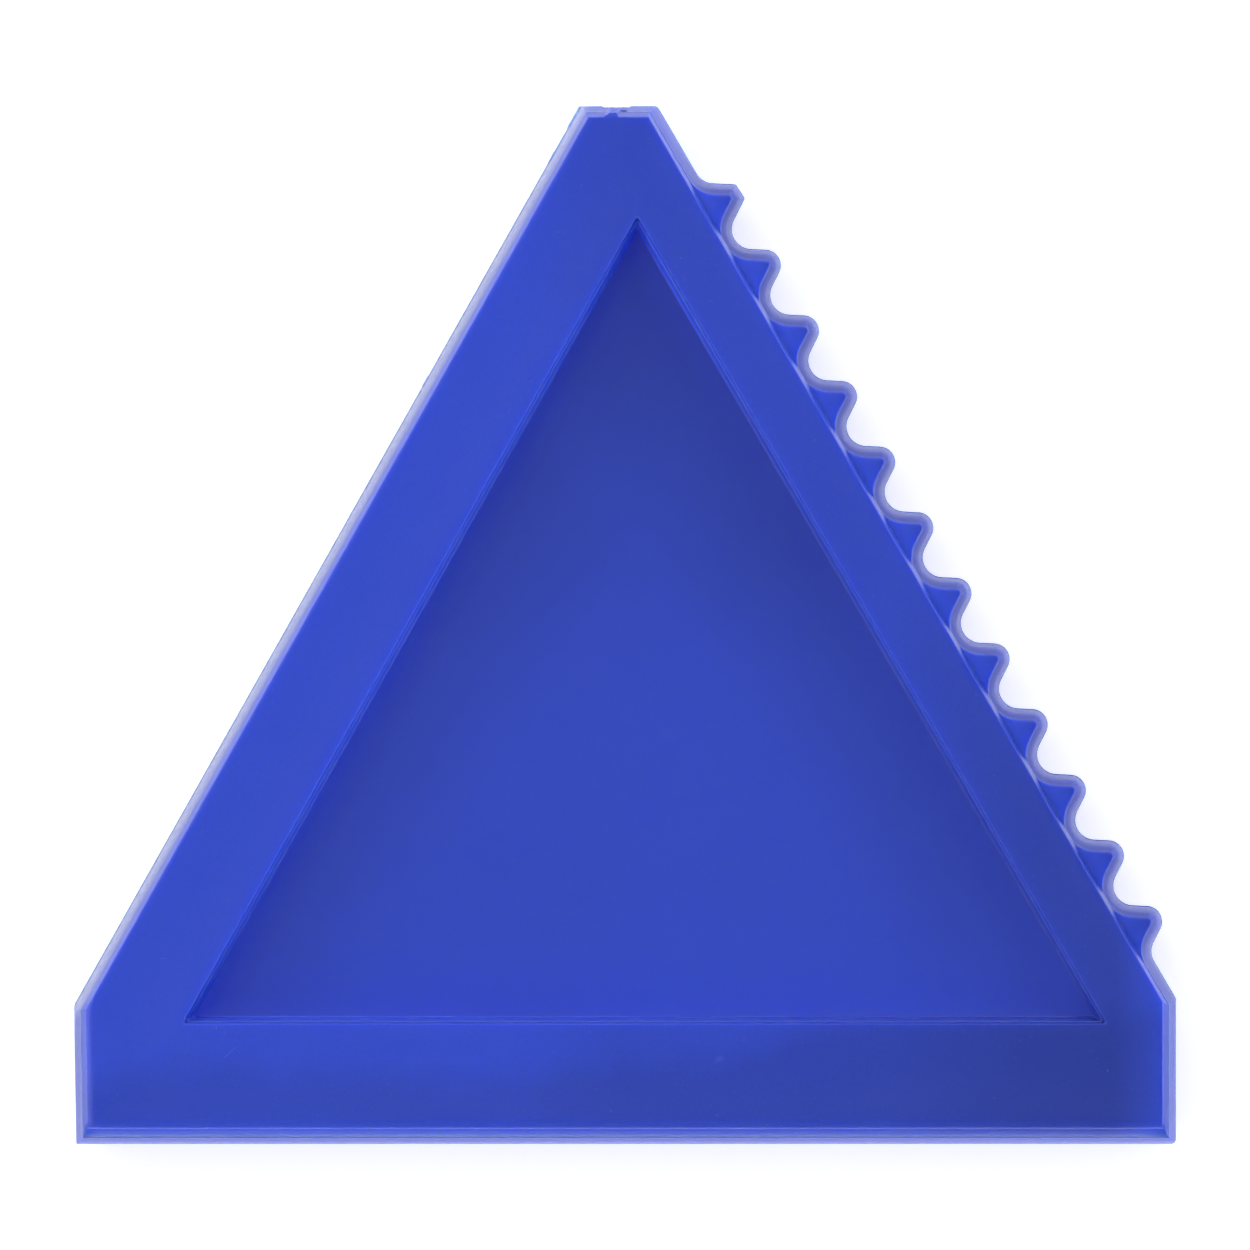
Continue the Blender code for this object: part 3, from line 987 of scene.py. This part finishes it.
def body_tint(graph, place):
    """Painted light and shade: tooth faces painted brighter towards the rim and the tip, walls painted
    darker, a painted shade line on the parting ridge and a painted pale reflection on the left wall.
    """
    split = graph.nodes.new("ShaderNodeSeparateXYZ")
    graph.join(place, split.inputs["Vector"])
    rise = graph.math("ABSOLUTE", graph.math("SUBTRACT", split.outputs["Z"], MIDDLE_Z), 0.0)
    # Painted shade along the parting ridge
    ridge = graph.span(rise, PARTING_HALF_HEIGHT, 2 * PARTING_HALF_HEIGHT, PARTING_PAINTED_SHADE, 1.0)
    # Painted shade on the walls, by height and low down near the base
    high = by_height(graph, place, BODY_WALL_PAINTED_SHADE_UP)
    low = graph.curve(rise, [(height * MM, level) for height, level in LOW_WALL_PAINTED_SHADE_RISE], "LINEAR")
    start, end = (BASE_Y + height * MM for height in LOW_WALL_PAINTED_SHADE_END)
    above = graph.span(split.outputs["Y"], start, end, 0.0, 1.0)
    wall = graph.math("ADD", low, graph.math("MULTIPLY", above, graph.math("SUBTRACT", high, low)))
    left_line = side_lines()["left_slope"]
    # Painted shade on the left slope's wall
    wall = graph.math("MULTIPLY", wall, by_inside(graph, place, left_line, LEFT_WALL_PAINTED_SHADE_INSIDE))
    wall = graph.math("MULTIPLY", wall, ridge)
    # Painted light on the tooth faces, brighter towards the rim and the tip
    inside = by_inside(graph, place, side_lines()["right_slope"], TOOTH_FACE_PAINTED_LIGHT_INSIDE)
    face = graph.math("MULTIPLY", by_height(graph, place, TOOTH_FACE_PAINTED_LIGHT_UP), inside)
    share = graph.span(rise, BODY_FACE - BODY_EDGE_ROUND, BODY_FACE, 0.0, 1.0)
    mixed = graph.math("MULTIPLY", share, graph.math("SUBTRACT", face, wall))
    # Painted reflection of the white table, mottled, on the left slope's wall
    cloud = graph.span(graph.noise(place, *WALL_NOISE), *NOISE_RANGE, *PAINTED_REFLECTION_LEVELS)
    painted_reflection = graph.math("MULTIPLY", by_inside(graph, place, left_line, LEFT_WALL_PAINTED_REFLECTION_INSIDE), cloud)
    return graph.math("ADD", wall, mixed), painted_reflection


def pocket_tint(graph, place):
    """The recess's walls are painted lighter towards the left end and the tip: painted light."""
    split = graph.nodes.new("ShaderNodeSeparateXYZ")
    graph.join(place, split.inputs["Vector"])
    # Painted light on the recess's walls, by X and by height
    painted_light_across = graph.curve(split.outputs["X"], [(x * MM, level) for x, level in POCKET_WALL_PAINTED_LIGHT_ACROSS], "LINEAR")
    pale = graph.span(graph.noise(place, *WALL_NOISE), *HAZE_RANGE, 0.0, POCKET_HAZE)
    return graph.math("MULTIPLY", painted_light_across, by_height(graph, place, POCKET_WALL_PAINTED_LIGHT_UP)), pale


def panel_tint(graph, place):
    """The sunk panel is painted lighter at the base, the tip and the left wall's foot, and painted darker
    beside the walls: painted light and shade.
    """
    corners = triangle_corners()
    lines = []
    for start, end in ((corners[2], corners[0]), (corners[1], corners[2])):
        along = (end - start).normalized()
        lines.append((start, Vector((-along.y, along.x))))
    # Painted light and shade on the panel, by height and by distance from each slanted wall
    strength = by_height(graph, place, PANEL_PAINTED_SHADING_UP)
    for line, levels in zip(lines, (PANEL_PAINTED_SHADING_INSIDE_LEFT, PANEL_PAINTED_SHADING_INSIDE_RIGHT)):
        strength = graph.math("MULTIPLY", strength, by_inside(graph, place, line, levels))
    pale = graph.span(graph.noise(place, *PANEL_NOISE), *HAZE_RANGE, 0.0, PANEL_HAZE)
    return strength, pale


def floor_material():
    """A plain white table lit from below."""
    material = bpy.data.materials.new("white_table")
    material.use_nodes = True
    shader = material.node_tree.nodes["Principled BSDF"]
    shader.inputs["Base Color"].default_value = (TABLE_WHITE, TABLE_WHITE, TABLE_WHITE, 1)
    shader.inputs["Roughness"].default_value = TABLE_ROUGHNESS
    shader.inputs["Emission Color"].default_value = (1, 1, 1, 1)
    shader.inputs["Emission Strength"].default_value = TABLE_GLOW
    return material


# ---------------------------------------------------------------- stage


def floor():
    """A white table top."""
    mesh = bpy.data.meshes.new("table_top")
    bm = bmesh.new()
    bmesh.ops.create_grid(bm, x_segments=2, y_segments=2, size=TABLE_REACH)
    bm.to_mesh(mesh)
    bm.free()
    mesh.materials.append(floor_material())
    obj = bpy.data.objects.new("table_top", mesh)
    obj.location.z = -TABLE_DROP
    bpy.context.scene.collection.objects.link(obj)


def world():
    """A studio lit from four sides, each with its own brightness by the height of the direction."""
    made = bpy.data.worlds.new("studio")
    bpy.context.scene.world = made
    made.use_nodes = True
    graph = Graph(made)
    place = graph.nodes.new("ShaderNodeTexCoord").outputs["Generated"]
    split = graph.nodes.new("ShaderNodeSeparateXYZ")
    graph.join(place, split.inputs["Vector"])
    rise = split.outputs["Z"]
    level_part = graph.math("SUBTRACT", 1.0, graph.math("MULTIPLY", rise, rise))
    level_part = graph.math("MAXIMUM", level_part, LEAST_LEVEL_PART)
    total = 0.0
    for axis, sense, brightness in SKY:
        towards = graph.math("MAXIMUM", graph.math("MULTIPLY", split.outputs[axis], sense), 0.0)
        weight = graph.math("DIVIDE", graph.math("POWER", towards, 2.0), level_part)
        light = graph.math("MULTIPLY", weight, graph.curve(rise, brightness, "LINEAR"))
        total = graph.math("ADD", light, total)
    background = graph.nodes["Background"]
    background.inputs["Color"].default_value = (1, 1, 1, 1)
    graph.join(total, background.inputs["Strength"])


def camera():
    """A long lens straight above the scraper, with the tip at the top of the picture."""
    data = bpy.data.cameras.new("camera")
    data.sensor_width = SENSOR
    data.lens = LENS
    data.dof.use_dof = False
    distance = FRAME_WIDTH / 2 / (SENSOR / 2 / LENS)
    data.clip_start, data.clip_end = CLIP
    obj = bpy.data.objects.new("camera", data)
    obj.location = (0, 0, MIDDLE_Z + distance)
    bpy.context.scene.collection.objects.link(obj)
    bpy.context.scene.camera = obj


# ---------------------------------------------------------------- build

rim_plastic = plastic("rim_plastic", RIM_FINISH, rim_tint, PALE_BLUE)
# The body's pale colour is a painted reflection on the left wall
body_plastic = plastic("body_plastic", BODY_FINISH, body_tint, PAINTED_REFLECTION_PALE)
pocket_plastic = plastic("pocket_plastic", BODY_FINISH, pocket_tint, PALE_BLUE)
panel_plastic = plastic("panel_plastic", PANEL_FINISH, panel_tint, PALE_BLUE)

toothed_body([body_plastic, pocket_plastic, panel_plastic])
rim("front_rim_moulding", FRONT, rim_plastic, "front_rim")
rim("rear_rim_moulding", REAR, rim_plastic, "rear_rim")

floor()
world()
camera()

bpy.context.scene.view_settings.view_transform = "Standard"
bpy.context.scene.view_settings.look = "None"
